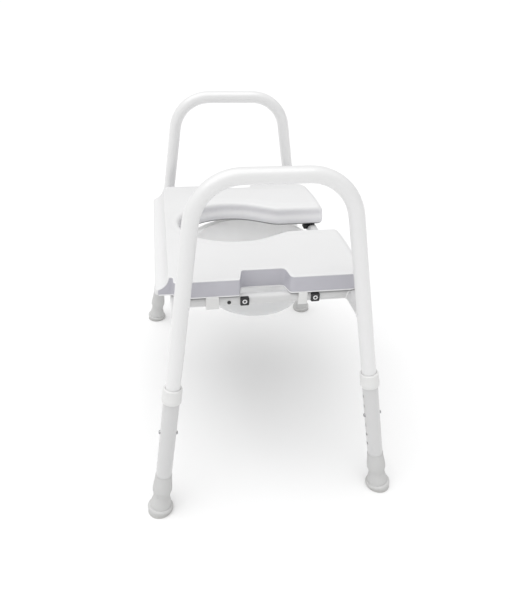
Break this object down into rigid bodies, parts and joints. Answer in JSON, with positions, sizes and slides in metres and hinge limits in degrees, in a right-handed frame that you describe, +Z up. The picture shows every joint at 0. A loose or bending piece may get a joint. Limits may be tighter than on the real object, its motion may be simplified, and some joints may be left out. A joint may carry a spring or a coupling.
{
  "type": "commode chair",
  "caption": "Free-standing commode chair: bent-tube side frames with arm bars, telescoping legs, open-front padded seat and lift-out pan.",
  "frame": {"origin": "on the floor, at the middle of the four feet", "axes": "+Z up; the front of the seat faces -Y; the user's left is +X"},
  "size_m": [0.7904, 0.5272, 0.7063],
  "materials": {
    "powder_coat": "gloss white powder coat over steel tube",
    "white_plastic": "moulded white plastic, satin",
    "grey_rubber": "pale grey moulded rubber",
    "black_rubber": "black moulded rubber",
    "black_plastic": "black plastic",
    "seat_skin": "white moulded padding with a fine-grained closed skin and lavender-grey sides",
    "pan_plastic": "pale grey moulded plastic, satin gloss",
    "steel": "plated steel"
  },
  "bodies": {
    "frame": {"side_frame_left": "powder_coat", "side_frame_right": "powder_coat", "cross_rail_front": "powder_coat", "cross_rail_rear": "powder_coat", "seat_rail_left": "powder_coat", "rail_plug_left": "black_plastic", "front_bumper_left": "black_rubber", "pan_runner_left": "white_plastic", "label_plate_front_left": "black_plastic", "runner_screw_front_left": "steel", "label_plate_rear_left": "black_plastic", "runner_screw_rear_left": "steel", "seat_rail_right": "powder_coat", "rail_plug_right": "black_plastic", "front_bumper_right": "black_rubber", "pan_runner_right": "white_plastic", "label_plate_front_right": "black_plastic", "runner_screw_front_right": "steel", "label_plate_rear_right": "black_plastic", "runner_screw_rear_right": "steel", "pin_spring_front_left": "steel", "pin_spring_front_right": "steel", "pin_spring_rear_left": "steel", "pin_spring_rear_right": "steel"},
    "seat": {"seat_cushion": "seat_skin", "seat_base_board": "white_plastic", "seat_clip_front_left": "white_plastic", "seat_clip_front_right": "white_plastic", "seat_clip_rear_left": "white_plastic", "seat_clip_rear_right": "white_plastic", "clip_screw_front_left": "steel", "clip_screw_front_right": "steel", "clip_screw_rear_left": "steel", "clip_screw_rear_right": "steel"},
    "pan": {"pan": "pan_plastic"},
    "leg_front_left": {"leg_sleeve_front_left": "powder_coat", "sleeve_collar_front_left": "white_plastic", "rubber_foot_front_left": "grey_rubber"},
    "pin_a_front_left": {"snap_pin_a_front_left": "steel"},
    "pin_b_front_left": {"snap_pin_b_front_left": "steel"},
    "leg_front_right": {"leg_sleeve_front_right": "powder_coat", "sleeve_collar_front_right": "white_plastic", "rubber_foot_front_right": "grey_rubber"},
    "pin_a_front_right": {"snap_pin_a_front_right": "steel"},
    "pin_b_front_right": {"snap_pin_b_front_right": "steel"},
    "leg_rear_left": {"leg_sleeve_rear_left": "powder_coat", "sleeve_collar_rear_left": "white_plastic", "rubber_foot_rear_left": "grey_rubber"},
    "pin_a_rear_left": {"snap_pin_a_rear_left": "steel"},
    "pin_b_rear_left": {"snap_pin_b_rear_left": "steel"},
    "leg_rear_right": {"leg_sleeve_rear_right": "powder_coat", "sleeve_collar_rear_right": "white_plastic", "rubber_foot_rear_right": "grey_rubber"},
    "pin_a_rear_right": {"snap_pin_a_rear_right": "steel"},
    "pin_b_rear_right": {"snap_pin_b_rear_right": "steel"}
  },
  "joints": [
    {"name": "seat_lift", "type": "slide", "parent": "frame", "child": "seat", "axis": [0, 0, 1], "range_m": [0, 0.15]},
    {"name": "pan_lift", "type": "slide", "parent": "frame", "child": "pan", "axis": [0, 0, 1], "range_m": [0, 0.15]},
    {"name": "leg_height_front_left", "type": "slide", "parent": "frame", "child": "leg_front_left", "axis": [-0.0935, 0.1729, 0.9805], "range_m": [-0.075, 0.075]},
    {"name": "pin_a_front_left_press", "type": "slide", "parent": "frame", "child": "pin_a_front_left", "axis": [0.0164, 0.9849, -0.1721], "range_m": [0, 0.0045], "stiffness_N_per_m": 800, "deforming": ["pin_spring_front_left"]},
    {"name": "pin_b_front_left_press", "type": "slide", "parent": "frame", "child": "pin_b_front_left", "axis": [-0.0164, -0.9849, 0.1721], "range_m": [0, 0.0045], "stiffness_N_per_m": 800},
    {"name": "leg_height_front_right", "type": "slide", "parent": "frame", "child": "leg_front_right", "axis": [0.0935, 0.1729, 0.9805], "range_m": [-0.075, 0.075]},
    {"name": "pin_a_front_right_press", "type": "slide", "parent": "frame", "child": "pin_a_front_right", "axis": [-0.0164, 0.9849, -0.1721], "range_m": [0, 0.0045], "stiffness_N_per_m": 800, "deforming": ["pin_spring_front_right"]},
    {"name": "pin_b_front_right_press", "type": "slide", "parent": "frame", "child": "pin_b_front_right", "axis": [0.0164, -0.9849, 0.1721], "range_m": [0, 0.0045], "stiffness_N_per_m": 800},
    {"name": "leg_height_rear_left", "type": "slide", "parent": "frame", "child": "leg_rear_left", "axis": [-0.0941, -0.1368, 0.9861], "range_m": [-0.075, 0.075]},
    {"name": "pin_a_rear_left_press", "type": "slide", "parent": "frame", "child": "pin_a_rear_left", "axis": [-0.013, 0.9906, 0.1362], "range_m": [0, 0.0045], "stiffness_N_per_m": 800, "deforming": ["pin_spring_rear_left"]},
    {"name": "pin_b_rear_left_press", "type": "slide", "parent": "frame", "child": "pin_b_rear_left", "axis": [0.013, -0.9906, -0.1362], "range_m": [0, 0.0045], "stiffness_N_per_m": 800},
    {"name": "leg_height_rear_right", "type": "slide", "parent": "frame", "child": "leg_rear_right", "axis": [0.0941, -0.1368, 0.9861], "range_m": [-0.075, 0.075]},
    {"name": "pin_a_rear_right_press", "type": "slide", "parent": "frame", "child": "pin_a_rear_right", "axis": [0.013, 0.9906, 0.1362], "range_m": [0, 0.0045], "stiffness_N_per_m": 800, "deforming": ["pin_spring_rear_right"]},
    {"name": "pin_b_rear_right_press", "type": "slide", "parent": "frame", "child": "pin_b_rear_right", "axis": [-0.013, -0.9906, -0.1362], "range_m": [0, 0.0045], "stiffness_N_per_m": 800}
  ],
  "couplings": [
    {"joint": "pan_lift", "follows": "seat_lift", "ratio": 1},
    {"joint": "pin_b_front_left_press", "follows": "pin_a_front_left_press", "ratio": 1},
    {"joint": "pin_b_front_right_press", "follows": "pin_a_front_right_press", "ratio": 1},
    {"joint": "pin_b_rear_left_press", "follows": "pin_a_rear_left_press", "ratio": 1},
    {"joint": "pin_b_rear_right_press", "follows": "pin_a_rear_right_press", "ratio": 1}
  ]
}
